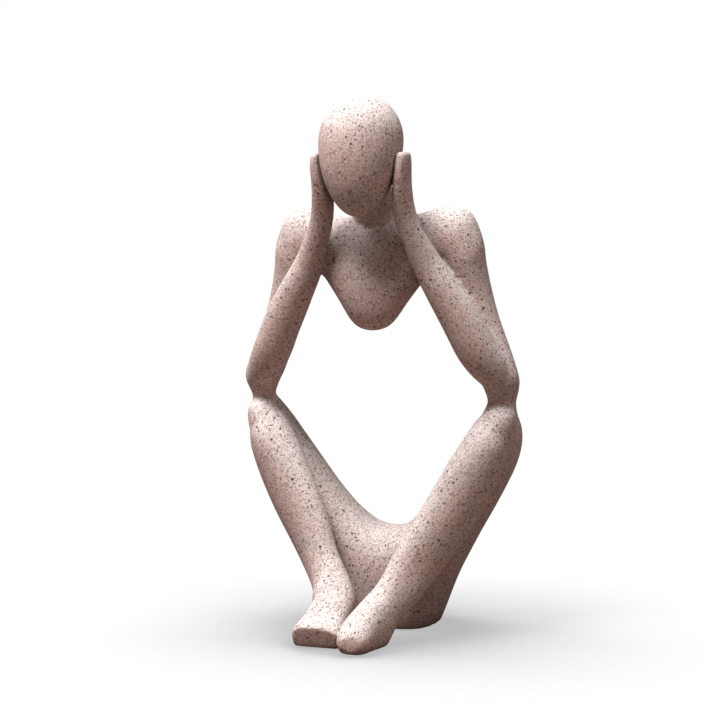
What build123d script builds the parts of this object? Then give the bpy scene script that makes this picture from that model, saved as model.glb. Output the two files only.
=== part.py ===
from build123d import *
import os
from math import copysign, cos, pi, radians, sin

# A seated abstract thinker, cast in speckled stone resin, with its elbows on its knees.
# X runs to the figure's left, Y to its back and Z up. The origin is the middle of the
# pad under the seat. Forward means towards -Y, the way that the figure faces.

# Whole figure, in millimetres
height = 250.0  # floor to the crown of the head
half_span = 67.2  # middle plane to the outside of a knee
reach = 74.0  # middle of the seat to the tip of the toes

# Depths and widths of the limbs at their fullest
chest_depth = 24.0
neck_depth = 16.0
forearm_depth = 17.6
hand_depth = 15.2
seat_depth = 42.0
shin_depth = 22.5
left_foot_width = 17.0
right_foot_width = 24.4

# Head, an egg that leans forward
head_width = 38.4
head_length = 54.6
crown_forward = 41.5
chin_forward = 54.5
head_widest_share = 0.38  # crown to the widest place
crown_round_share = 0.21
crown_blunt_share = 0.56
jaw_round_share = 0.3
chin_blunt_share = 0.5

# Seams between the castings
shoulder_seam = 31.0  # middle plane to the flat seam of a shoulder
hip_aside = 28.5
hip_forward = 3.0
hip_up = 47.0
hip_tilt = 22.6  # degrees that the seam of a hip leans from upright
foot_seam_aside = 1.0
foot_seam_forward = 46.0
foot_seam_turn = 7.0  # degrees that the seam between the feet turns from straight ahead

# Steel dowels in blind sockets, set in resin glue
neck_pin_size = 5.0
neck_pin_length = 24.0
shoulder_pin_size = 6.0
shoulder_pin_length = 24.0
elbow_pin_size = 4.0
elbow_pin_length = 24.0
hip_pin_size = 6.0
hip_pin_length = 30.0
palm_pin_size = 2.5
palm_pin_length = 9.0
foot_pin_size = 3.0
foot_pin_length = 12.0
foot_pin_up = 7.5
pin_chamfer = 0.4
glue_gap = 0.05  # round each dowel
glue_end = 0.5  # past each end of a dowel

# Soft pads between the casting and the shelf
pad_thickness = 0.8
seat_pad_length = 32.0
seat_pad_width = 25.0
left_foot_pad_length = 15.0
left_foot_pad_width = 9.0
right_foot_pad_length = 15.0
right_foot_pad_width = 11.0

slice_points = 24  # around each slice
slice_steps = 3  # from each given slice to the next
skin_fit = 0.02  # how closely a skin follows its slices

# Each row is one slice: an end of its long way, the other end, its short way and its
# roundness. The ends are (aside, forward, up) and the short way is a share of the named
# depth or width. A roundness of 1 is an ellipse, and less is squarer.

# Shares of half_span, reach and the height of the chin, from the middle of the seat
yoke_shares = [
    (0.000, 0.419, 0.732, 0.000, 0.291, 1.006, 1.000, 1),
    (0.126, 0.412, 0.746, 0.126, 0.291, 1.005, 1.000, 1),
    (0.247, 0.385, 0.803, 0.253, 0.284, 1.005, 0.958, 1),
    (0.365, 0.338, 0.855, 0.372, 0.277, 1.015, 0.896, 1),
    (0.454, 0.297, 0.867, 0.476, 0.277, 1.027, 0.875, 1),
    (0.470, 0.277, 0.860, 0.649, 0.277, 1.014, 0.917, 1),
    (0.482, 0.270, 0.850, 0.743, 0.277, 0.949, 0.896, 1),
    (0.506, 0.257, 0.829, 0.766, 0.270, 0.893, 0.833, 1),
    (0.551, 0.250, 0.793, 0.796, 0.257, 0.837, 0.771, 1),
    (0.610, 0.250, 0.745, 0.845, 0.250, 0.773, 0.708, 1),
    (0.655, 0.257, 0.701, 0.896, 0.243, 0.724, 0.700, 1),
    (0.689, 0.277, 0.660, 0.952, 0.236, 0.672, 0.742, 1),
    (0.738, 0.303, 0.617, 0.996, 0.230, 0.618, 0.717, 1),
    (0.778, 0.308, 0.586, 0.978, 0.197, 0.589, 0.542, 1),
    (0.798, 0.303, 0.566, 0.955, 0.184, 0.566, 0.383, 1),
]
neck_shares = [
    (-0.268, 0.304, 0.957, 0.268, 0.304, 0.957, 1.000, 1),
    (-0.190, 0.314, 0.988, 0.190, 0.314, 0.988, 1.000, 1),
    (-0.158, 0.345, 1.021, 0.158, 0.345, 1.021, 1.000, 1),
]
forearm_shares = [
    (0.810, 0.292, 0.575, 0.940, 0.195, 0.576, 0.398, 1),
    (0.807, 0.300, 0.585, 0.955, 0.200, 0.589, 0.625, 1),
    (0.765, 0.341, 0.605, 0.958, 0.230, 0.619, 0.818, 1),
    (0.699, 0.400, 0.632, 0.917, 0.281, 0.665, 0.955, 1),
    (0.625, 0.443, 0.670, 0.851, 0.338, 0.709, 1.000, 1),
    (0.555, 0.468, 0.719, 0.786, 0.378, 0.757, 0.983, 1),
    (0.479, 0.481, 0.770, 0.711, 0.414, 0.806, 0.955, 1),
    (0.406, 0.500, 0.820, 0.619, 0.453, 0.853, 0.869, 1),
    (0.336, 0.518, 0.872, 0.528, 0.482, 0.899, 0.756, 1),
    (0.274, 0.557, 0.932, 0.440, 0.534, 0.951, 0.625, 1),
    (0.223, 0.585, 0.993, 0.375, 0.574, 1.003, 0.653, 1),
]
thigh_shares = [
    (0.000, 0.011, 0.242, 0.000, 0.011, -0.041, 1.000, 0.7),
    (0.126, 0.014, 0.251, 0.141, 0.011, -0.041, 1.000, 0.7),
    (0.231, 0.027, 0.281, 0.283, 0.014, -0.026, 0.952, 0.78),
    (0.324, 0.054, 0.320, 0.491, 0.034, 0.126, 0.821, 0.92),
    (0.417, 0.088, 0.366, 0.659, 0.061, 0.230, 0.738, 1),
    (0.518, 0.115, 0.420, 0.821, 0.108, 0.325, 0.667, 1),
    (0.618, 0.149, 0.473, 0.961, 0.162, 0.420, 0.619, 1),
    (0.699, 0.200, 0.518, 0.999, 0.208, 0.491, 0.557, 1),
    (0.798, 0.303, 0.566, 0.955, 0.184, 0.566, 0.219, 1),
]
shin_shares = [
    (0.810, 0.292, 0.557, 0.940, 0.195, 0.555, 0.311, 1),
    (0.789, 0.312, 0.548, 0.958, 0.192, 0.539, 0.551, 1),
    (0.765, 0.335, 0.534, 0.955, 0.214, 0.515, 0.747, 1),
    (0.715, 0.342, 0.516, 0.922, 0.225, 0.467, 0.916, 1),
    (0.654, 0.378, 0.481, 0.893, 0.243, 0.424, 1.000, 1),
    (0.553, 0.416, 0.424, 0.828, 0.260, 0.359, 0.956, 1),
    (0.436, 0.452, 0.351, 0.719, 0.292, 0.284, 0.889, 1),
]
left_foot_shares = [
    (0.316, 0.496, 0.278, 0.588, 0.342, 0.213, 1.059, 0.92),
    (0.207, 0.550, 0.209, 0.457, 0.409, 0.149, 0.929, 0.84),
    (0.141, 0.601, 0.156, 0.362, 0.475, 0.103, 0.906, 0.82),
    (0.101, 0.670, 0.127, 0.217, 0.576, 0.042, 0.906, 0.86),
    (0.083, 0.768, 0.111, 0.140, 0.676, -0.010, 0.941, 0.92),
    (0.058, 0.859, 0.090, 0.074, 0.824, -0.015, 1.000, 0.95),
    (0.051, 0.932, 0.070, 0.057, 0.924, -0.010, 0.918, 1),
    (0.054, 0.981, 0.056, 0.057, 0.978, 0.000, 0.729, 1),
    (0.057, 1.003, 0.045, 0.057, 1.003, 0.010, 0.447, 1),
]
right_foot_shares = [
    (0.335, 0.487, 0.278, 0.591, 0.343, 0.217, 0.738, 1),
    (0.251, 0.532, 0.207, 0.464, 0.411, 0.156, 0.656, 1),
    (0.182, 0.586, 0.164, 0.345, 0.476, 0.100, 0.717, 1),
    (0.170, 0.657, 0.138, 0.253, 0.546, 0.047, 0.844, 1),
    (0.196, 0.714, 0.116, 0.220, 0.627, -0.005, 0.885, 0.96),
    (0.220, 0.770, 0.090, 0.223, 0.724, -0.018, 0.943, 0.86),
    (0.231, 0.842, 0.069, 0.231, 0.814, -0.012, 0.967, 0.74),
    (0.237, 0.892, 0.059, 0.237, 0.851, -0.009, 0.943, 0.68),
    (0.238, 0.912, 0.052, 0.238, 0.873, -0.004, 0.852, 0.66),
]

# Shares of head_width, head_length and head_length, from the chin
nape_shares = [
    (-0.260, -0.416, 0.222, 0.260, -0.416, 0.222, 1.000, 1),
    (-0.247, -0.256, 0.350, 0.247, -0.256, 0.350, 0.969, 1),
]
hand_shares = [
    (0.375, -0.178, 0.148, 0.615, -0.178, 0.167, 0.921, 0.95),
    (0.406, -0.152, 0.304, 0.604, -0.152, 0.304, 1.000, 0.95),
    (0.438, -0.134, 0.432, 0.609, -0.134, 0.432, 0.947, 0.9),
    (0.458, -0.130, 0.524, 0.599, -0.130, 0.524, 0.789, 0.85),
]


def slices(shares, depth, corner, spans):
    rows = []
    for share in shares:
        ends = [corner[axis % 3] + share[axis] * spans[axis % 3] for axis in range(6)]
        rows.append((*ends, share[6] * depth, share[7]))
    return rows


def place(aside, forward, up):
    return Vector(aside, -forward, up)


def middle(row):
    return (place(*row[:3]) + place(*row[3:6])) * 0.5


def bend(turn, roundness):
    return copysign(abs(turn) ** roundness, turn)


# Rows between the given ones, on smooth curves through them
def eased(rows):
    middles = [middle(row) for row in rows]
    steps = [(after - before).length for before, after in zip(middles, middles[1:])]
    slopes = []
    for index in range(len(rows)):
        low, high = max(index - 1, 0), min(index + 1, len(rows) - 1)
        span = sum(steps[low:high])
        slopes.append([(after - before) / span for before, after in zip(rows[low], rows[high])])
    finer = []
    for index, step in enumerate(steps):
        for part in range(slice_steps):
            t = part / slice_steps
            finer.append([
                before * (2 * t**3 - 3 * t**2 + 1)
                + leave * step * (t**3 - 2 * t**2 + t)
                + after * (3 * t**2 - 2 * t**3)
                + arrive * step * (t**3 - t**2)
                for before, after, leave, arrive in zip(
                    rows[index], rows[index + 1], slopes[index], slopes[index + 1]
                )
            ])
    return finer + [list(rows[-1])]


# A closed solid through the slices in rows, with a flat cap at each end
def limb(rows, level_ends=False):
    rows = eased(rows)
    ends = [(place(*row[:3]), place(*row[3:6])) for row in rows]
    middles = [middle(row) for row in rows]
    rings = []
    for index, (first, last) in enumerate(ends):
        across = last - first
        heading = middles[min(index + 1, len(rows) - 1)] - middles[max(index - 1, 0)]
        if level_ends and index in (0, len(rows) - 1):
            heading = Vector(0, 0, heading.Z)
        along = heading - across * (heading.dot(across) / across.dot(across))
        slice_plane = Plane(origin=middles[index], x_dir=across, z_dir=along)
        half_deep, roundness = rows[index][6] / 2, rows[index][7]
        ring = []
        for count in range(slice_points):
            turn = 2 * pi * count / slice_points
            aside = across.length / 2 * bend(cos(turn), roundness)
            ahead = half_deep * bend(sin(turn), roundness)
            ring.append(slice_plane.from_local_coords((aside, ahead, 0)))
        rings.append(ring + ring[:1])
    skin = Face.make_surface_from_array_of_points(rings, tol=skin_fit, min_deg=3, max_deg=3)
    caps = [Face(Wire([edge])) for edge in skin.edges() if edge.is_closed]
    return Solid(Shell([skin, *caps]))


def other_side(rows):
    return [(-row[0], *row[1:3], -row[3], *row[4:]) for row in rows]


def both_sides(rows):
    return other_side(rows[:0:-1]) + rows


os.makedirs("parts", exist_ok=True)

# Plain forms that two or more castings share
crown = Vector(0, -crown_forward, height)
chin = Vector(0, -chin_forward, height - head_length)
head_axis = chin - crown
head_plane = Plane(origin=crown, x_dir=head_axis, z_dir=(1, 0, 0))
half_wide = head_width / 2
widest_along = head_axis.length * head_widest_share
crown_round = head_axis.length * crown_round_share
jaw_round = head_axis.length * jaw_round_share
with BuildPart() as egg:
    with BuildSketch(head_plane):
        with BuildLine():
            Bezier(
                (0, 0),
                (0, half_wide * crown_blunt_share),
                (widest_along - crown_round, half_wide),
                (widest_along, half_wide),
            )
            Polyline((widest_along, half_wide), (widest_along, 0), (0, 0))
        make_face()
    revolve(axis=Axis(crown, head_axis))
    with BuildSketch(head_plane):
        with BuildLine():
            Bezier(
                (widest_along, half_wide),
                (widest_along + jaw_round, half_wide),
                (head_axis.length, half_wide * chin_blunt_share),
                (head_axis.length, 0),
            )
            Polyline((head_axis.length, 0), (widest_along, 0), (widest_along, half_wide))
        make_face()
    revolve(axis=Axis(crown, head_axis))

chin_up = height - head_length
body = ((0, 0, 0), (half_span, reach, chin_up))
head_only = ((0, chin_forward, chin_up), (head_width, head_length, head_length))
yoke = slices(yoke_shares, chest_depth, *body)
neck = slices(neck_shares, neck_depth, *body) + slices(nape_shares, neck_depth, *head_only)
hand = slices(hand_shares, hand_depth, *head_only)
forearm = slices(forearm_shares, forearm_depth, *body) + hand
thigh = slices(thigh_shares, seat_depth, *body)
shin = slices(shin_shares, shin_depth, *body)
left_foot = slices(left_foot_shares, left_foot_width, *body)
right_foot = slices(right_foot_shares, right_foot_width, *body)

with BuildPart() as shoulders:
    add(limb(both_sides(yoke), level_ends=True))

with BuildPart() as thighs:
    add(limb(both_sides(thigh), level_ends=True))

floor_plane = Plane.XY.offset(pad_thickness)
left_shoulder = Plane(origin=(shoulder_seam, 0, 0), z_dir=(1, 0, 0))
right_shoulder = Plane(origin=(-shoulder_seam, 0, 0), z_dir=(-1, 0, 0))
hip_lean = radians(hip_tilt)
left_hip = Plane(origin=(hip_aside, -hip_forward, hip_up), z_dir=(cos(hip_lean), 0, sin(hip_lean)))
right_hip = Plane(origin=(-hip_aside, -hip_forward, hip_up), z_dir=(-cos(hip_lean), 0, sin(hip_lean)))
elbow = middle(yoke[-1])
foot_turn = radians(foot_seam_turn)
foot_seam = Plane(
    origin=(-foot_seam_aside, -foot_seam_forward, 0), z_dir=(cos(foot_turn), -sin(foot_turn), 0)
)

# Where each dowel stands: its middle, pointing along it
shoulder = middle(yoke[4])
palm = place(*hand[1][:3])
nape_first, nape_last = middle(neck[3]), middle(neck[4])
foot_pin_ahead = -(middle(left_foot[4]).Y + middle(left_foot[5]).Y) / 2 - foot_seam_forward
foot_pin_middle = foot_seam.origin + Vector(
    -foot_pin_ahead * sin(foot_turn) / cos(foot_turn), -foot_pin_ahead, foot_pin_up
)
pin_planes = {
    "neck_pin": Plane(origin=(nape_first + nape_last) * 0.5, z_dir=nape_last - nape_first),
    "left_shoulder_pin": Plane(origin=(shoulder_seam, shoulder.Y, shoulder.Z), z_dir=(1, 0, 0)),
    "right_shoulder_pin": Plane(origin=(-shoulder_seam, shoulder.Y, shoulder.Z), z_dir=(1, 0, 0)),
    "left_elbow_pin": Plane(origin=elbow),
    "right_elbow_pin": Plane(origin=(-elbow.X, elbow.Y, elbow.Z)),
    "left_hip_pin": left_hip,
    "right_hip_pin": right_hip,
    "left_palm_pin": Plane(origin=palm, z_dir=(1, 0, 0)),
    "right_palm_pin": Plane(origin=(-palm.X, palm.Y, palm.Z), z_dir=(1, 0, 0)),
    "foot_pin": Plane(origin=foot_pin_middle, z_dir=foot_seam.z_dir),
}
pin_sizes = {
    "neck_pin": (neck_pin_size, neck_pin_length),
    "left_shoulder_pin": (shoulder_pin_size, shoulder_pin_length),
    "right_shoulder_pin": (shoulder_pin_size, shoulder_pin_length),
    "left_elbow_pin": (elbow_pin_size, elbow_pin_length),
    "right_elbow_pin": (elbow_pin_size, elbow_pin_length),
    "left_hip_pin": (hip_pin_size, hip_pin_length),
    "right_hip_pin": (hip_pin_size, hip_pin_length),
    "left_palm_pin": (palm_pin_size, palm_pin_length),
    "right_palm_pin": (palm_pin_size, palm_pin_length),
    "foot_pin": (foot_pin_size, foot_pin_length),
}

sockets = {}
for name, (size, length) in pin_sizes.items():
    with BuildPart(pin_planes[name]) as socket:
        Cylinder(size / 2 + glue_gap, length + 2 * glue_end)
    sockets[name] = socket.part

with BuildPart() as head:
    add(egg.part)
    for name in ("neck_pin", "left_palm_pin", "right_palm_pin"):
        add(sockets[name], mode=Mode.SUBTRACT)
head.part.label = "head"
export_step(head.part, "parts/head.step")

with BuildPart() as torso:
    add(shoulders.part)
    split(bisect_by=left_shoulder, keep=Keep.BOTTOM)
    split(bisect_by=right_shoulder, keep=Keep.BOTTOM)
    add(limb(neck))
    add(egg.part, mode=Mode.SUBTRACT)
    for name in ("neck_pin", "left_shoulder_pin", "right_shoulder_pin"):
        add(sockets[name], mode=Mode.SUBTRACT)
torso.part.label = "torso"
export_step(torso.part, "parts/torso.step")

arm_sides = {
    "left_arm": (forearm, left_shoulder, "left"),
    "right_arm": (other_side(forearm), right_shoulder, "right"),
}
for label, (rows, seam, side) in arm_sides.items():
    with BuildPart() as arm:
        add(shoulders.part)
        split(bisect_by=seam, keep=Keep.TOP)
        add(limb(rows))
        add(egg.part, mode=Mode.SUBTRACT)
        add(torso.part, mode=Mode.SUBTRACT)
        for joint in ("shoulder", "elbow", "palm"):
            add(sockets[f"{side}_{joint}_pin"], mode=Mode.SUBTRACT)
    arm.part.label = label
    export_step(arm.part, f"parts/{label}.step")

with BuildPart() as seat:
    add(thighs.part)
    split(bisect_by=left_hip, keep=Keep.BOTTOM)
    split(bisect_by=right_hip, keep=Keep.BOTTOM)
    split(bisect_by=floor_plane, keep=Keep.TOP)
    for name in ("left_hip_pin", "right_hip_pin"):
        add(sockets[name], mode=Mode.SUBTRACT)
seat.part.label = "seat"
export_step(seat.part, "parts/seat.step")

leg_sides = {
    "left_leg": (shin + left_foot, left_hip, Keep.TOP, "left"),
    "right_leg": (other_side(shin + right_foot), right_hip, Keep.BOTTOM, "right"),
}
for label, (rows, seam, kept, side) in leg_sides.items():
    with BuildPart() as leg:
        add(thighs.part)
        split(bisect_by=seam, keep=Keep.TOP)
        add(limb(rows))
        split(bisect_by=foot_seam, keep=kept)
        split(bisect_by=floor_plane, keep=Keep.TOP)
        add(seat.part, mode=Mode.SUBTRACT)
        for name in (f"{side}_hip_pin", f"{side}_elbow_pin", "foot_pin"):
            add(sockets[name], mode=Mode.SUBTRACT)
    leg.part.label = label
    export_step(leg.part, f"parts/{label}.step")

for label, (size, length) in pin_sizes.items():
    with BuildPart(pin_planes[label]) as pin:
        Cylinder(size / 2, length)
        chamfer(pin.edges().filter_by(GeomType.CIRCLE), length=pin_chamfer)
    pin.part.label = label
    export_step(pin.part, f"parts/{label}.step")

left_sole = middle(left_foot[5])
right_sole = middle(other_side(right_foot)[5])
pads = {
    "seat_pad": (Vector(0, 0, 0), seat_pad_length, seat_pad_width),
    "left_foot_pad": (left_sole, left_foot_pad_width, left_foot_pad_length),
    "right_foot_pad": (right_sole, right_foot_pad_length, right_foot_pad_width),
}
for label, (under, across, deep) in pads.items():
    with BuildPart() as pad:
        with BuildSketch():
            with Locations((under.X, under.Y)):
                Ellipse(across / 2, deep / 2)
        extrude(amount=pad_thickness)
    pad.part.label = label
    export_step(pad.part, f"parts/{label}.step")
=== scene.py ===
import math

import bpy
import numpy as np
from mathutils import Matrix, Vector
from mathutils.bvhtree import BVHTree


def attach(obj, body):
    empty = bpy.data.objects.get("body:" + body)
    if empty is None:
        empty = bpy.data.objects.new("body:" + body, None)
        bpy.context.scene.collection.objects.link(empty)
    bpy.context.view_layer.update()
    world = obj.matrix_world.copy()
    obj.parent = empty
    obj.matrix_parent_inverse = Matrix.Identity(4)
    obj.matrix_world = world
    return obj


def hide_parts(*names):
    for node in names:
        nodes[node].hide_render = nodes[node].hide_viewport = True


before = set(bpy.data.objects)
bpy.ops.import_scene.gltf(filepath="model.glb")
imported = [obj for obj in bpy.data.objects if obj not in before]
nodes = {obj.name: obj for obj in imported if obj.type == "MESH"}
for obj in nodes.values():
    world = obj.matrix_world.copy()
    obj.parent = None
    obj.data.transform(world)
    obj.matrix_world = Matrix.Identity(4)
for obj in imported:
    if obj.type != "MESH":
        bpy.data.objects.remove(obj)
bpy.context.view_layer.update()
print("frame loaded:", len(nodes), "nodes")


def pickNone():
    for thing in bpy.context.selected_objects:
        thing.select_set(False)


def pickOnly(thing):
    pickNone()
    thing.select_set(True)
    bpy.context.view_layer.objects.active = thing


def startEdit(thing):
    pickOnly(thing)
    bpy.ops.object.mode_set(mode="EDIT")


def endEdit():
    bpy.ops.object.mode_set(mode="OBJECT")


def mergePoints(thing, nearer=0.000001):
    startEdit(thing)
    bpy.ops.mesh.select_all(action="SELECT")
    bpy.ops.mesh.remove_doubles(threshold=nearer)
    endEdit()


# A loose copy of a CAD node, with its doubled points merged
def copyNode(nodeName, newName):
    twin = nodes[nodeName].copy()
    twin.data = nodes[nodeName].data.copy()
    for key in list(twin.keys()):
        del twin[key]
    twin.parent = None
    twin.name = newName
    bpy.context.scene.collection.objects.link(twin)
    mergePoints(twin)
    return twin


def joinAll(things, newName):
    pickNone()
    for thing in things:
        thing.select_set(True)
    bpy.context.view_layer.objects.active = things[0]
    bpy.ops.object.join()
    joined = bpy.context.view_layer.objects.active
    joined.name = newName
    return joined


def applyModifier(thing, kind, **settings):
    pickOnly(thing)
    modifier = thing.modifiers.new(kind, kind)
    for key, value in settings.items():
        setattr(modifier, key, value)
    bpy.ops.object.modifier_apply(modifier=modifier.name)


# A field of each item of a mesh, as one flat array
def readField(items, field, count, kind):
    values = np.zeros(count, kind)
    items.foreach_get(field, values)
    return values


def faceSizes(mesh):
    return readField(mesh.polygons, "loop_total", len(mesh.polygons), np.int32)


def faceCentres(thing):
    faces = thing.data.polygons
    return readField(faces, "center", len(faces) * 3, np.float32).reshape(-1, 3).astype(float)


def pointPlaces(thing):
    points = thing.data.vertices
    return readField(points, "co", len(points) * 3, np.float32).reshape(-1, 3).astype(float)


# Picks the faces where the mask is true, and nothing else
def pickFaces(thing, mask):
    mesh = thing.data
    mask = np.asarray(mask, bool)
    corners = readField(mesh.loops, "vertex_index", len(mesh.loops), np.int32)
    ends = readField(mesh.edges, "vertices", len(mesh.edges) * 2, np.int32)
    chosen = np.zeros(len(mesh.vertices), bool)
    chosen[corners[np.repeat(mask, faceSizes(mesh))]] = True
    mesh.vertices.foreach_set("select", chosen)
    mesh.edges.foreach_set("select", chosen[ends].reshape(-1, 2).all(axis=1))
    mesh.polygons.foreach_set("select", mask)


# A dowel's middle, direction, length and radius, from its own mesh. The direction's main
# part points to the figure's left or up.
def dowel(pinName):
    places = pointPlaces(nodes[pinName])
    middle = (places.min(axis=0) + places.max(axis=0)) / 2
    spread = places - middle
    way = np.linalg.svd(spread, full_matrices=False)[2][0]
    way = way * np.sign(way[np.abs(way).argmax()])
    along = spread @ way
    radius = np.linalg.norm(spread - np.outer(along, way), axis=1).max()
    return middle, way, np.ptp(along), radius


# How far each place lies past a plane, on the side that its normal points to
def past(places, plane):
    origin, normal = plane
    return (places - origin) @ normal


# 0 below low, 1 above high, and a smooth step between
def step(values, low, high):
    t = np.clip((values - low) / (high - low), 0, 1)
    return t * t * (3 - 2 * t)


# A vertex group with a weight for each point, in so many levels
def weigh(thing, groupName, weights, levels=16):
    group = thing.vertex_groups.new(name=groupName)
    nearest = np.round(np.clip(weights, 0, 1) * levels).astype(int)
    for level in range(1, levels + 1):
        group.add(np.nonzero(nearest == level)[0].tolist(), level / levels, "REPLACE")


# The castings meet without a seam that shows, so all six are sculpted as one skin, which
# is then cut apart where the CAD castings part
skin = {
    "castings": ["torso", "left_arm", "right_arm", "seat", "left_leg", "right_leg"],
    "grain": 0.0008,  # size of a voxel
    "softness": 0.5,  # how far each smoothing pass moves a point
    "softTurns": 12,  # smoothing passes all over
    "jointTurns": 30,  # more passes round the elbows, where arm and knee meet in a waist
    "jointReach": (0.004, 0.011),  # full and no extra smoothing, from the seam up or down
    "edgeKeep": 0.3,  # share of the smoothing at the crisp edges of the right toes and the soles
    "toeAhead": (0.058, 0.063),  # the right toes come in over this stretch, forward of the origin,
    "toeSide": -0.0025,  # on this side,
    "toeUp": (0.016, 0.022),  # and fade over this height
    "soleUp": (0.002, 0.004),  # and so do the soles over this one
    "seams": {  # by the dowel across each: the heights and the depths that it is cut between
        "left_elbow_pin": ((0, 1), (-1, 1)),
        "left_shoulder_pin": ((0.15, 1), (-0.0335, 1)),
        "right_shoulder_pin": ((0.15, 1), (-0.0335, 1)),
        "left_hip_pin": ((-1, 0.1), (-0.032, 1)),
        "right_hip_pin": ((-1, 0.1), (-0.032, 1)),
        "foot_pin": ((-1, 0.035), (-1, -0.03)),
    },
    "scoreReach": 0.003,  # faces nearer to a seam than this are cut by it
    "scoreFit": 0.00001,
    "merge": 0.00003,  # points nearer than this become one, so that a seam leaves no slivers
    "capRim": 0.0001,
    "smoothAngle": 48,
}
seams = {pinName: dowel(pinName)[:2] for pinName in skin["seams"]}
parts = [copyNode(name, "skin_" + name) for name in skin["castings"]]
parts += [copyNode(name, "skin_" + name) for name in nodes
          if name.endswith("_pin") and "palm" not in name and "neck" not in name]
body = joinAll(parts, "body_skin")
applyModifier(body, "REMESH", mode="VOXEL", voxel_size=skin["grain"], use_smooth_shade=True)
print("body remeshed:", len(body.data.polygons), "faces")

# Only the outer shell stays, should a gap between castings leave a small one inside
startEdit(body)
bpy.ops.mesh.separate(type="LOOSE")
endEdit()
shells = sorted(bpy.context.selected_objects, key=lambda thing: len(thing.data.polygons))
body = shells[-1]
for shell in shells[:-1]:
    bpy.data.objects.remove(shell)
body.name = "body_skin"
print("inner shells removed:", len(shells) - 1)

x, y, z = pointPlaces(body).T
rightToe = step(-y, *skin["toeAhead"]) * (x < skin["toeSide"]) * (1 - step(z, *skin["toeUp"]))
sole = 1 - step(z, *skin["soleUp"])
weigh(body, "soft", 1 - (1 - skin["edgeKeep"]) * np.maximum(rightToe, sole))
fromElbow = np.abs(z - seams["left_elbow_pin"][0][2])
weigh(body, "joints", 1 - step(fromElbow, *skin["jointReach"]))
for groupName, turns in (("soft", skin["softTurns"]), ("joints", skin["jointTurns"])):
    applyModifier(body, "SMOOTH", factor=skin["softness"], iterations=turns, vertex_group=groupName)
body.vertex_groups.clear()

# New edges along each seam's plane, only through the faces near it that lie within its limits
for pinName, ((low, high), (ahead, behind)) in skin["seams"].items():
    origin, normal = seams[pinName]
    centres = faceCentres(body)
    y, z = centres[:, 1], centres[:, 2]
    near = np.abs(past(centres, seams[pinName])) < skin["scoreReach"]
    pickFaces(body, near & (z > low) & (z < high) & (y > ahead) & (y < behind))
    startEdit(body)
    bpy.ops.mesh.bisect(plane_co=origin.tolist(), plane_no=normal.tolist(), threshold=skin["scoreFit"])
    endEdit()
mergePoints(body, skin["merge"])
print("seams scored")

# Which casting each face belongs to: by the seam planes, and by the nearest CAD surface
# where a forearm lies on the chest or a shin on the seat
trees = {}
for name in skin["castings"]:
    mesh = nodes[name].data
    corners = [point.co.copy() for point in mesh.vertices]
    trees[name] = BVHTree.FromPolygons(corners, [tuple(face.vertices) for face in mesh.polygons])
order = {name: index for index, name in enumerate(skin["castings"])}
centres = faceCentres(body)
aside = {pinName: past(centres, plane) for pinName, plane in seams.items()}
owner = np.zeros(len(centres), np.int32)
for index, centre in enumerate(centres):
    if aside["left_elbow_pin"][index] > 0:
        isLeft, limbKind, middle, joint = centre[0] > 0, "arm", "torso", "shoulder"
    else:
        isLeft, limbKind, middle, joint = aside["foot_pin"][index] > 0, "leg", "seat", "hip"
    side = "left" if isLeft else "right"
    limb = f"{side}_{limbKind}"
    out = aside[f"{side}_{joint}_pin"][index]
    if (out if isLeft else -out) <= 0:
        spot = Vector(centre)
        if trees[middle].find_nearest(spot)[3] < trees[limb].find_nearest(spot)[3]:
            limb = middle
    owner[index] = order[limb]
print("faces shared out:", np.bincount(owner).tolist())


# Pairs of faces that share an edge which no third face uses
def facePairs(thing):
    mesh = thing.data
    edges = readField(mesh.loops, "edge_index", len(mesh.loops), np.int32)
    counts = faceSizes(mesh)
    faces = np.repeat(np.arange(len(counts)), counts)
    sorting = np.argsort(edges, kind="stable")
    edges, faces = edges[sorting], faces[sorting]
    uses = np.bincount(edges, minlength=len(mesh.edges))
    shared = (edges[1:] == edges[:-1]) & (uses[edges[1:]] == 2)
    return np.stack([faces[:-1][shared], faces[1:][shared]], axis=1)


# The number of the connected patch, of one owner, that each face lies in
def patchNumbers(pairs, owner):
    above = list(range(len(owner)))

    def top(face):
        while above[face] != face:
            above[face] = above[above[face]]
            face = above[face]
        return face

    for first, second in pairs[owner[pairs[:, 0]] == owner[pairs[:, 1]]].tolist():
        above[top(first)] = top(second)
    return np.array([top(face) for face in range(len(owner))])


# A casting is one patch: stray patches go to the casting round them
pairs = facePairs(body)
strays = 0
patches = patchNumbers(pairs, owner)
sizes = np.bincount(patches, minlength=len(owner))
for index in range(len(skin["castings"])):
    largest = patches[owner == index][np.argmax(sizes[patches[owner == index]])]
    for patch in np.unique(patches[(owner == index) & (patches != largest)]):
        inside = patches == patch
        rim = pairs[inside[pairs[:, 0]] != inside[pairs[:, 1]]]
        around = np.where(inside[rim[:, 0]], rim[:, 1], rim[:, 0])
        owner[inside] = np.bincount(owner[around]).argmax()
        strays += 1
print("stray patches given back:", strays)

# The skin comes apart by material, one for each casting
body.data.materials.clear()
for name in skin["castings"]:
    body.data.materials.append(bpy.data.materials.new("cut_" + name))
body.data.polygons.foreach_set("material_index", owner)
body.data.update()
startEdit(body)
bpy.ops.mesh.separate(type="MATERIAL")
endEdit()
castings = {}
for thing in list(bpy.context.selected_objects):
    mesh = thing.data
    name = mesh.materials[mesh.polygons[0].material_index].name.removeprefix("cut_")
    castings[name] = thing
    thing.name = name + "_casting"

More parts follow.
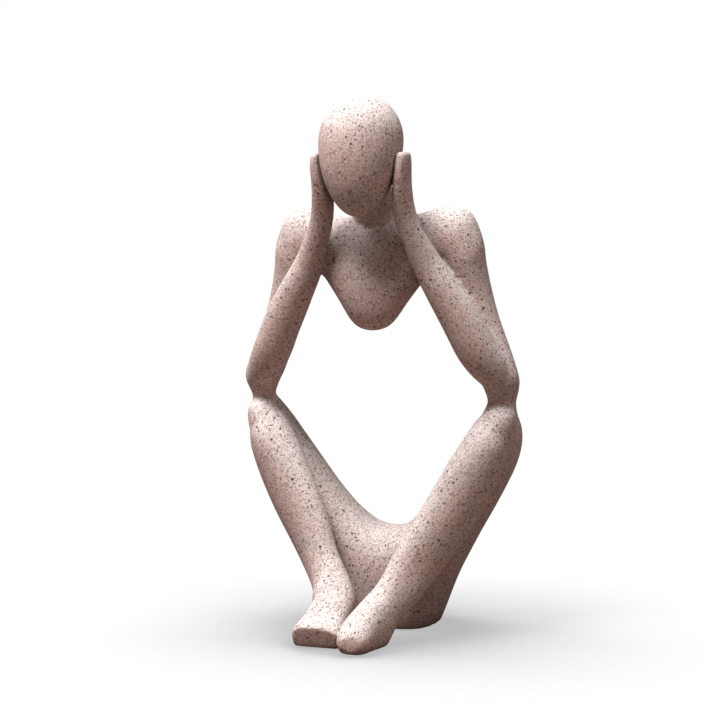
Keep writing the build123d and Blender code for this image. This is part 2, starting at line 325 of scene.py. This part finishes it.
# Each opening gets a cap. Its rim is inset, so that no cap triangle lies on a casting's face.
for thing in castings.values():
    openFaces = len(thing.data.polygons)
    startEdit(thing)
    bpy.ops.mesh.select_all(action="SELECT")
    bpy.ops.mesh.fill_holes(sides=0)
    endEdit()
    bpy.context.tool_settings.mesh_select_mode = (False, False, True)
    pickFaces(thing, np.arange(len(thing.data.polygons)) >= openFaces)
    startEdit(thing)
    bpy.ops.mesh.inset(thickness=skin["capRim"], depth=0)
    bpy.ops.mesh.select_all(action="SELECT")
    bpy.ops.mesh.normals_make_consistent(inside=False)
    endEdit()
    bpy.context.tool_settings.mesh_select_mode = (True, False, False)
    print("caps on", thing.name, len(thing.data.polygons) - openFaces)
print("castings parted:", sorted(castings))

# Each dowel's blind socket, cut into the castings that it joins. The head keeps its CAD mesh.
socket = {
    "joins": {
        "left_shoulder_pin": ("torso", "left_arm"), "right_shoulder_pin": ("torso", "right_arm"),
        "left_elbow_pin": ("left_arm", "left_leg"), "right_elbow_pin": ("right_arm", "right_leg"),
        "left_hip_pin": ("seat", "left_leg"), "right_hip_pin": ("seat", "right_leg"),
        "foot_pin": ("left_leg", "right_leg"), "neck_pin": ("torso",),
        "left_palm_pin": ("left_arm",), "right_palm_pin": ("right_arm",),
    },
    "glueGap": 0.00005,
    "glueEnd": 0.0005,
    "sides": 48,
}
for pinName, joined in socket["joins"].items():
    middle, way, length, radius = dowel(pinName)
    pickNone()
    bpy.ops.mesh.primitive_cylinder_add(
        vertices=socket["sides"], location=middle.tolist(),
        radius=radius + socket["glueGap"], depth=length + 2 * socket["glueEnd"],
        rotation=Vector(way).to_track_quat("Z", "Y").to_euler(),
    )
    drill = bpy.context.view_layer.objects.active
    for name in joined:
        applyModifier(castings[name], "BOOLEAN", operation="DIFFERENCE", object=drill, solver="EXACT")
    bpy.data.objects.remove(drill)
print("sockets drilled:", len(socket["joins"]))

for name, thing in castings.items():
    pickOnly(thing)
    bpy.ops.object.shade_smooth_by_angle(angle=math.radians(skin["smoothAngle"]))
    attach(thing, "root")
    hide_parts(name)


# Shader maths: a wire is a socket's value, and a board holds the nodes of a material or world
class Wire:
    def __init__(self, board, socket):
        self.board, self.socket = board, socket

    def maths(self, operation, *values):
        return self.board.add("ShaderNodeMath", {"operation": operation}, dict(enumerate(values)))

    def __add__(self, other): return self.maths("ADD", self, other)
    def __radd__(self, other): return self.maths("ADD", other, self)
    def __sub__(self, other): return self.maths("SUBTRACT", self, other)
    def __rsub__(self, other): return self.maths("SUBTRACT", other, self)
    def __mul__(self, other): return self.maths("MULTIPLY", self, other)
    def __rmul__(self, other): return self.maths("MULTIPLY", other, self)
    def __truediv__(self, other): return self.maths("DIVIDE", self, other)
    def __rtruediv__(self, other): return self.maths("DIVIDE", other, self)
    def __lt__(self, other): return self.maths("LESS_THAN", self, other)
    def __gt__(self, other): return self.maths("GREATER_THAN", self, other)


class Board:
    def __init__(self, owner):
        self.owner = owner
        owner.use_nodes = True
        self.tree = owner.node_tree
        self.tree.nodes.clear()

    def add(self, kind, settings=None, inputs=None, output=0):
        node = self.tree.nodes.new(kind)
        for key, value in (settings or {}).items():
            setattr(node, key, value)
        for key, value in (inputs or {}).items():
            if isinstance(value, Wire):
                self.tree.links.new(value.socket, node.inputs[key])
            else:
                node.inputs[key].default_value = value
        return Wire(self, node.outputs[output]) if len(node.outputs) else node

    def blend(self, factor, first, second, way="MIX"):
        settings = {"data_type": "RGBA", "blend_type": way}
        return self.add("ShaderNodeMix", settings, {0: factor, 6: first, 7: second}, output=2)

    def ease(self, value, low, high):
        settings = {"interpolation_type": "SMOOTHSTEP"}
        return self.add("ShaderNodeMapRange", settings, {0: value, 1: low, 2: high, 3: 0.0, 4: 1.0})

    def noise(self, place, settings, output=0):
        return self.add("ShaderNodeTexNoise", {}, {"Vector": place, **settings}, output)

    # How open to its surroundings each place is, from 0 to 1
    def openness(self, samples, reach):
        return self.add("ShaderNodeAmbientOcclusion", {"samples": samples}, {"Distance": reach}, output=1)


stone = {
    "base": (0.535, 0.395, 0.362, 1),
    "cool": (0.50, 0.385, 0.36, 1),
    "warm": (0.565, 0.40, 0.36, 1),
    "paintedTopLight": (0.78, 0.705, 0.69, 1),  # painted highlight: a paler colour where the surface faces up, standing in for light from above
    "paintedCreaseShade": (0.10, 0.065, 0.055, 1),  # painted shade, darker in the creases where limbs meet
    "dark": (0.05, 0.032, 0.028, 1),
    "brown": (0.14, 0.078, 0.062, 1),
    "rust": (0.27, 0.145, 0.115, 1),
    "pale": (0.86, 0.80, 0.76, 1),
    "grainShades": ((0.80, 0.78, 0.77, 1), (1.12, 1.12, 1.12, 1)),  # fine darker and lighter grains
    "mottle": {"Scale": 55.0, "Detail": 3.0, "Roughness": 0.55},  # clouds of cool and warm
    "mottleEase": (0.35, 0.65),
    "flour": {"Scale": 420.0, "Detail": 3.0, "Roughness": 0.7},  # coarse sand
    "flourEase": (0.3, 0.7),
    "flourShare": 0.5,
    "grain": {"Scale": 1300.0, "Detail": 2.0, "Roughness": 0.6},  # fine sand
    "grainEase": (0.25, 0.75),
    "faceUp": (-0.12, 0.62),  # the share of up in a face's direction, from no painted highlight to full
    "topLightRagged": 0.25,
    "topLightShare": 0.75,
    "creaseSamples": 8,
    "creaseReach": 0.014,
    "creaseEase": (0.25, 0.85),
    "creaseShare": 0.75,
    "raggedNoise": {"Scale": 1600.0, "Detail": 1.0},
    "raggedPush": 0.0009,  # how far a speck's edge strays
    "speckEdge": 0.55,  # the share of a speck's reach that is solid
    "leastSpeck": 0.4,  # the smallest speck of a kind beside the largest
    "shiftShares": (1.0, 0.7, 1.3),
    "specks": {  # cell in metres, share of cells that hold one, size in cells, shift, strength, colour
        "rusty": (0.0010, 0.85, 0.66, 0.053, 0.62, "rust"),
        "dust": (0.0008, 0.60, 0.62, 0.011, 0.6, "brown"),
        "chips": (0.0015, 0.40, 0.48, 0.037, 0.78, "dark"),
        "flecks": (0.0027, 0.45, 0.31, 0.071, 0.9, "dark"),
        "chalk": (0.0012, 0.30, 0.42, 0.029, 0.5, "pale"),
    },
    "rough": 0.78,
    "chipGloss": 0.12,  # chips are this much smoother
    "grainRough": 0.08,
    "gloss": 0.28,
    "grit": 0.00022,  # height of the relief
    "gritStrength": 0.55,
    "relief": {"grain": 0.5, "flour": 0.4, "dust": -0.25, "chips": -0.35, "chalk": 0.25},
}


def makeStone():
    board = Board(bpy.data.materials.new("speckled_stone"))
    place = board.add("ShaderNodeTexCoord", output=3)

    # Coordinates pushed about a little, so that no speck comes out round
    push = board.noise(place, stone["raggedNoise"], output=1)
    push = board.add("ShaderNodeVectorMath", {"operation": "SUBTRACT"}, {0: push, 1: (0.5, 0.5, 0.5)})
    push = board.add("ShaderNodeVectorMath", {"operation": "SCALE"}, {0: push, 3: stone["raggedPush"]})
    ragged = board.add("ShaderNodeVectorMath", {"operation": "ADD"}, {0: place, 1: push})

    # One speck, of its own size, in each cell whose number is under the share
    def specks(cell, share, size, shift):
        offset = tuple(shift * part for part in stone["shiftShares"])
        spot = board.add("ShaderNodeVectorMath", {"operation": "ADD"}, {0: ragged, 1: offset})
        settings = {"feature": "F1", "distance": "EUCLIDEAN"}
        inputs = {"Vector": spot, "Scale": 1 / cell, "Randomness": 1.0}
        near = board.add("ShaderNodeTexVoronoi", settings, inputs, output=0)
        luck = board.add("ShaderNodeTexVoronoi", settings, inputs, output=1)
        red = board.add("ShaderNodeSeparateColor", {}, {0: luck})
        green = board.add("ShaderNodeSeparateColor", {}, {0: luck}, output=1)
        reach = (green * (1 - stone["leastSpeck"]) + stone["leastSpeck"]) * size
        return (1 - board.ease(near / reach, stone["speckEdge"], 1.0)) * (red < share)

    mottle = board.noise(place, stone["mottle"])
    grain = board.noise(place, stone["grain"])
    flour = board.noise(place, stone["flour"])
    colour = board.blend(board.ease(mottle, *stone["mottleEase"]), stone["cool"], stone["warm"])
    floury = board.ease(flour, *stone["flourEase"]) * stone["flourShare"]
    colour = board.blend(floury, colour, stone["base"])

    normal = board.add("ShaderNodeTexCoord", output=1)
    facing = board.add("ShaderNodeSeparateXYZ", {}, {0: normal}, output=2)
    # Painted highlight: faces that point up turn paler, as if lit from above
    topLightMask = board.ease(facing + (flour - 0.5) * stone["topLightRagged"], *stone["faceUp"])
    colour = board.blend(topLightMask * stone["topLightShare"], colour, stone["paintedTopLight"])
    # Painted shade: the colour darkens where the surface is hidden from its surroundings, in creases and
    # where parts meet
    hidden = 1 - board.openness(stone["creaseSamples"], stone["creaseReach"])
    creaseShadeShare = board.ease(hidden, *stone["creaseEase"]) * stone["creaseShare"]
    colour = board.blend(creaseShadeShare, colour, stone["paintedCreaseShade"])

    shade = board.ease(grain, *stone["grainEase"])
    colour = board.blend(1.0, colour, board.blend(shade, *stone["grainShades"]), "MULTIPLY")
    layers = {"grain": grain, "flour": flour}
    for name, (cell, share, size, shift, strength, tint) in stone["specks"].items():
        layers[name] = specks(cell, share, size, shift)
        colour = board.blend(layers[name] * strength, colour, stone[tint])
    height = sum(layers[name] * weight for name, weight in stone["relief"].items())
    relief = {"Strength": stone["gritStrength"], "Distance": stone["grit"], "Height": height}
    surface = board.add("ShaderNodeBsdfPrincipled", {}, {
        "Base Color": colour,
        "Roughness": stone["rough"] - layers["chips"] * stone["chipGloss"] + shade * stone["grainRough"],
        "Normal": board.add("ShaderNodeBump", {}, relief),
        "Specular IOR Level": stone["gloss"],
    })
    board.add("ShaderNodeOutputMaterial", {}, {0: surface})
    return board.owner


plain = {
    "ease": (0.3, 0.7),
    "darker": 0.85,
    "detail": 3.0,
    "grit": 0.0001,
    "gritStrength": 0.3,
    "grainRough": 0.1,
}
steel = {"name": "drawn_steel", "colour": (0.55, 0.55, 0.57), "rough": 0.28, "metal": 1.0, "scale": 900.0}
foam = {"name": "pad_foam", "colour": (0.74, 0.70, 0.65), "rough": 0.85, "metal": 0.0, "scale": 1400.0}


# A fine even grain in one colour, for the dowels and the pads
def makePlain(finish):
    board = Board(bpy.data.materials.new(finish["name"]))
    place = board.add("ShaderNodeTexCoord", output=3)
    grain = board.noise(place, {"Scale": finish["scale"], "Detail": plain["detail"]})
    darker = tuple(plain["darker"] * part for part in finish["colour"])
    relief = {"Strength": plain["gritStrength"], "Distance": plain["grit"], "Height": grain}
    surface = board.add("ShaderNodeBsdfPrincipled", {}, {
        "Base Color": board.blend(board.ease(grain, *plain["ease"]), (*darker, 1), (*finish["colour"], 1)),
        "Roughness": finish["rough"] + grain * plain["grainRough"],
        "Metallic": finish["metal"],
        "Normal": board.add("ShaderNodeBump", {}, relief),
    })
    board.add("ShaderNodeOutputMaterial", {}, {0: surface})
    return board.owner


def dress(thing, material):
    thing.data.materials.clear()
    thing.data.materials.append(material)


stoneMaterial = makeStone()
steelMaterial = makePlain(steel)
foamMaterial = makePlain(foam)
for thing in castings.values():
    dress(thing, stoneMaterial)
for name, node in nodes.items():
    if name.endswith("_pin"):
        dress(node, steelMaterial)
    elif name.endswith("_pad"):
        dress(node, foamMaterial)
    else:
        dress(node, stoneMaterial)
print("materials done")


# The floor bounces a warm dim light at the figure, and the camera sees it near white, with the figure's
# shadow and a painted soft shadow round the feet
studio = {
    "floorSize": 6,
    "floor": (0.86, 0.86, 0.86, 1),
    "floorBounce": (0.20, 0.155, 0.135, 1),
    "white": (1, 1, 1, 1),
    "shadowDepth": 0.16,  # how much of the floor's own shading the camera sees
    "paintedShadowGrey": (0.30, 0.30, 0.31, 1),
    "paintedShadowSamples": 12,
    "paintedShadowReach": 0.28,  # how far the painted shadow round the feet spreads
    "paintedShadowGain": 1.7,
    "paintedShadowMost": 0.66,
    "fade": (0.20, 0.60),  # metres from the figure over which the floor turns white
    "world": 0.08,
    "worldTint": (1.0, 0.80, 0.70, 1),
}
pickNone()
bpy.ops.mesh.primitive_plane_add(size=studio["floorSize"], location=(0, 0, 0))
floor = bpy.context.view_layer.objects.active
floor.name = "floor"
board = Board(bpy.data.materials.new("pale_floor"))
place = board.add("ShaderNodeTexCoord", output=3)
away = board.add("ShaderNodeVectorMath", {"operation": "LENGTH"}, {0: place}, output=1)
seen = board.add("ShaderNodeLightPath", output=0)
dull = board.add("ShaderNodeBsdfDiffuse", {}, {"Color": studio["floorBounce"]})
matt = board.add("ShaderNodeBsdfDiffuse", {}, {"Color": studio["floor"]})
white = board.add("ShaderNodeEmission", {}, {"Color": studio["white"], "Strength": 1.0})
near = 1 - board.ease(away, *studio["fade"])
veil = 1 - near * studio["shadowDepth"]
pale = board.add("ShaderNodeMixShader", {}, {0: veil, 1: matt, 2: white})
# Painted shadow: a grey shown where the floor near the figure is hidden from its surroundings
shadowPaint = board.add("ShaderNodeEmission", {}, {"Color": studio["paintedShadowGrey"], "Strength": 1.0})
clear = board.openness(studio["paintedShadowSamples"], studio["paintedShadowReach"])
closeness = (1 - clear) * near * studio["paintedShadowGain"]
paintedShadowShare = closeness.maths("MINIMUM", closeness, studio["paintedShadowMost"])
withPaintedShadow = board.add("ShaderNodeMixShader", {}, {0: paintedShadowShare, 1: pale, 2: shadowPaint})
shown = board.add("ShaderNodeMixShader", {}, {0: seen, 1: dull, 2: withPaintedShadow})
board.add("ShaderNodeOutputMaterial", {}, {0: shown})
dress(floor, board.owner)

# The world lights the figure dimly, and is white to the camera, in reflections and through glass
world = bpy.data.worlds.new("studio")
bpy.context.scene.world = world
board = Board(world)
cameraRay = board.add("ShaderNodeLightPath", output="Is Camera Ray")
glossyRay = board.add("ShaderNodeLightPath", output="Is Glossy Ray")
throughRay = board.add("ShaderNodeLightPath", output="Is Transmission Ray")
anyRay = cameraRay.maths("MAXIMUM", cameraRay.maths("MAXIMUM", cameraRay, glossyRay), throughRay)
dim = board.add("ShaderNodeBackground", {}, {0: studio["worldTint"], 1: studio["world"]})
bright = board.add("ShaderNodeBackground", {}, {0: studio["white"], 1: 1.0})
mixed = board.add("ShaderNodeMixShader", {}, {0: anyRay, 1: dim, 2: bright})
board.add("ShaderNodeOutputWorld", {}, {0: mixed})

lampAim = (0, -0.02, 0.12)
lamps = {
    "key": {"azimuth": -24.0, "elevation": 64.0, "away": 1.4, "size": 0.5, "power": 27.0},
    "side": {"azimuth": -80.0, "elevation": 64.0, "away": 1.4, "size": 0.5, "power": 13.0},
    "edge": {"azimuth": 62.0, "elevation": 52.0, "away": 1.4, "size": 0.5, "power": 4.5},
}


# The direction from the figure out to an azimuth, 0 in front of it, and an elevation
def wayTo(azimuth, elevation):
    turn, rise = math.radians(azimuth), math.radians(elevation)
    return Vector((math.sin(turn) * math.cos(rise), -math.cos(turn) * math.cos(rise), math.sin(rise)))


for name, lamp in lamps.items():
    light = bpy.data.lights.new(name + "_lamp", "AREA")
    light.energy, light.shape, light.size = lamp["power"], "DISK", lamp["size"]
    thing = bpy.data.objects.new(name + "_lamp", light)
    way = wayTo(lamp["azimuth"], lamp["elevation"])
    thing.location = Vector(lampAim) + way * lamp["away"]
    thing.rotation_euler = way.to_track_quat("Z", "Y").to_euler()
    bpy.context.scene.collection.objects.link(thing)

lens = {
    "azimuth": 18.0, "elevation": 4.0, "away": 0.8,
    "target": (0, -0.018, 0.1285),
    "focal": 85, "sensor": 36,
    "pictureWidth": 720, "shift": -20.5,  # in pixels
    "nearest": 0.01,
}
way = wayTo(lens["azimuth"], lens["elevation"])
cameraData = bpy.data.cameras.new("photo_camera")
cameraData.lens, cameraData.sensor_width = lens["focal"], lens["sensor"]
cameraData.shift_x = lens["shift"] / lens["pictureWidth"]
cameraData.clip_start = lens["nearest"]
cameraThing = bpy.data.objects.new("photo_camera", cameraData)
cameraThing.location = Vector(lens["target"]) + way * lens["away"]
cameraThing.rotation_euler = way.to_track_quat("Z", "Y").to_euler()
bpy.context.scene.collection.objects.link(cameraThing)
bpy.context.scene.camera = cameraThing
bpy.context.scene.view_settings.view_transform = "Standard"
print("studio done")
